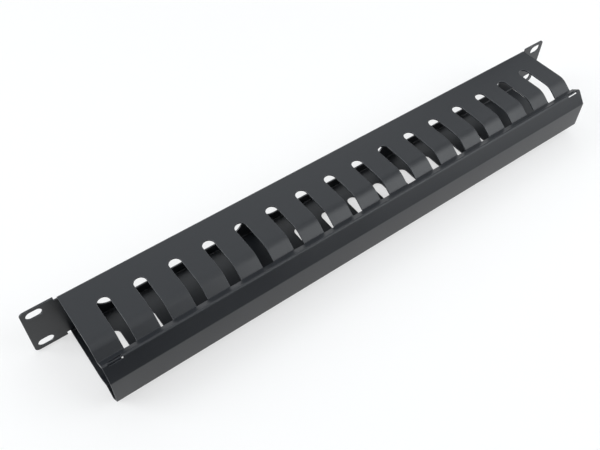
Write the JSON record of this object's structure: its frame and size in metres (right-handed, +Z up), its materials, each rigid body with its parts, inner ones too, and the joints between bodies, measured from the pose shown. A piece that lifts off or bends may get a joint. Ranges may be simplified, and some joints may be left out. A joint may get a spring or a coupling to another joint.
{
  "type": "horizontal cable manager",
  "caption": "Folded steel duct with rack ears, slotted walls that curve into fingers, rear windows and a folded cover that hooks over the fingertips.",
  "frame": {"origin": "centre of the slot pattern, in the plane where the back of the ears meets the rack rail", "axes": "+X along the rack to the right as seen from the front, +Y from the cover towards the rail, +Z up"},
  "size_m": [0.4826, 0.0704, 0.0436],
  "materials": {
    "black_powder_coat": "satin black powder coat with a very fine texture"
  },
  "bodies": {
    "duct": {"finger_duct": "black_powder_coat"},
    "cover": {"snap_cover": "black_powder_coat"}
  },
  "joints": [
    {"name": "cover_slide", "type": "slide", "parent": "duct", "child": "cover", "axis": [1, 0, 0], "range_m": [-0.46, 0.46]}
  ]
}
